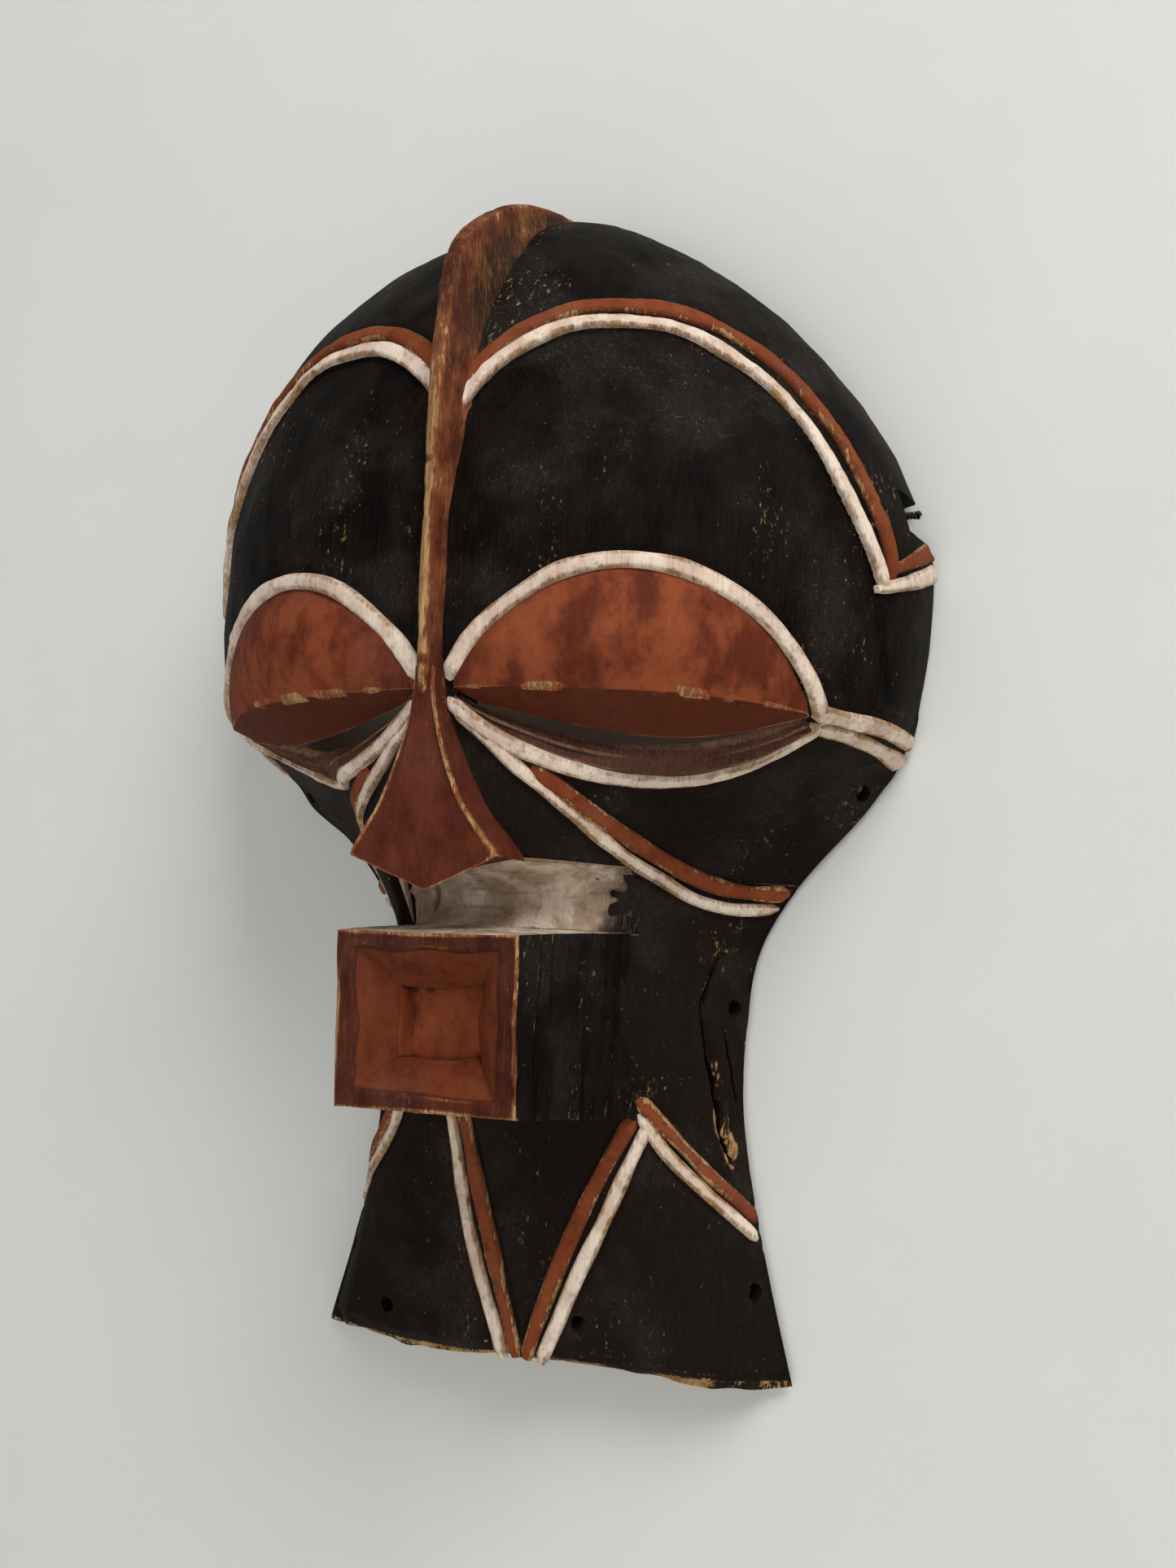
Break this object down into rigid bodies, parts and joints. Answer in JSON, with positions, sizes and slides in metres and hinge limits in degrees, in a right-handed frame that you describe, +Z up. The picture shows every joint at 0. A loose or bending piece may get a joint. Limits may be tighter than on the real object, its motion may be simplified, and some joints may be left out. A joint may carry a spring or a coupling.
{
  "type": "carved wooden mask",
  "caption": "Carved wooden face mask with a domed head, tall crest, slit eyes, square mouth box and flared neck, hung by an iron wire.",
  "frame": {"origin": "the point on the wall plane directly behind the hanging wire's bearing on its nail", "axes": "+X to the viewer's right, +Y from the face into the wall, +Z up"},
  "size_m": [0.3075, 0.1318, 0.4591],
  "materials": {
    "black_paint": "matte black paint on carved wood, worn to bare wood at the edges",
    "red_ochre": "matte red ochre on carved wood",
    "oxblood_paint": "satin dark red paint on carved wood, rubbed golden at the edges",
    "white_clay": "chalky off-white clay paint on carved wood",
    "iron_wire": "black annealed iron wire"
  },
  "bodies": {
    "carved_block": {"brow_band_red_left": "red_ochre", "brow_band_red_right": "red_ochre", "brow_band_white_left": "white_clay", "brow_band_white_right": "white_clay", "brow_tip_left": "white_clay", "brow_tip_right": "white_clay", "cheek_band_red_left": "red_ochre", "cheek_band_red_right": "red_ochre", "cheek_band_white_left": "white_clay", "cheek_band_white_right": "white_clay", "cheek_shell": "black_paint", "crest": "oxblood_paint", "crown_shell": "black_paint", "eye_rim_lower_left": "white_clay", "eye_rim_lower_right": "white_clay", "eye_rim_upper_left": "white_clay", "eye_rim_upper_right": "white_clay", "eyelid_left": "red_ochre", "eyelid_right": "red_ochre", "mouth_box": "oxblood_paint", "neck_band_red_left": "red_ochre", "neck_band_red_right": "red_ochre", "neck_band_white_left": "white_clay", "neck_band_white_right": "white_clay", "neck_collar": "black_paint", "nose": "oxblood_paint", "temple_rib_lower_left": "white_clay", "temple_rib_lower_right": "white_clay", "temple_rib_upper_left": "white_clay", "temple_rib_upper_right": "white_clay", "throat_band_red_left": "red_ochre", "throat_band_red_right": "red_ochre", "throat_band_white_left": "white_clay", "throat_band_white_right": "white_clay", "upper_lip": "white_clay", "wire_tie_left": "iron_wire", "wire_tie_right": "iron_wire"},
    "hanger": {"hanging_wire": "iron_wire"}
  },
  "joints": [
    {"name": "hanger_swing", "type": "hinge", "parent": "carved_block", "child": "hanger", "pos_m": [0, -0.007, -0.029], "axis": [1, 0, 0], "range_deg": [-85, 150]}
  ]
}
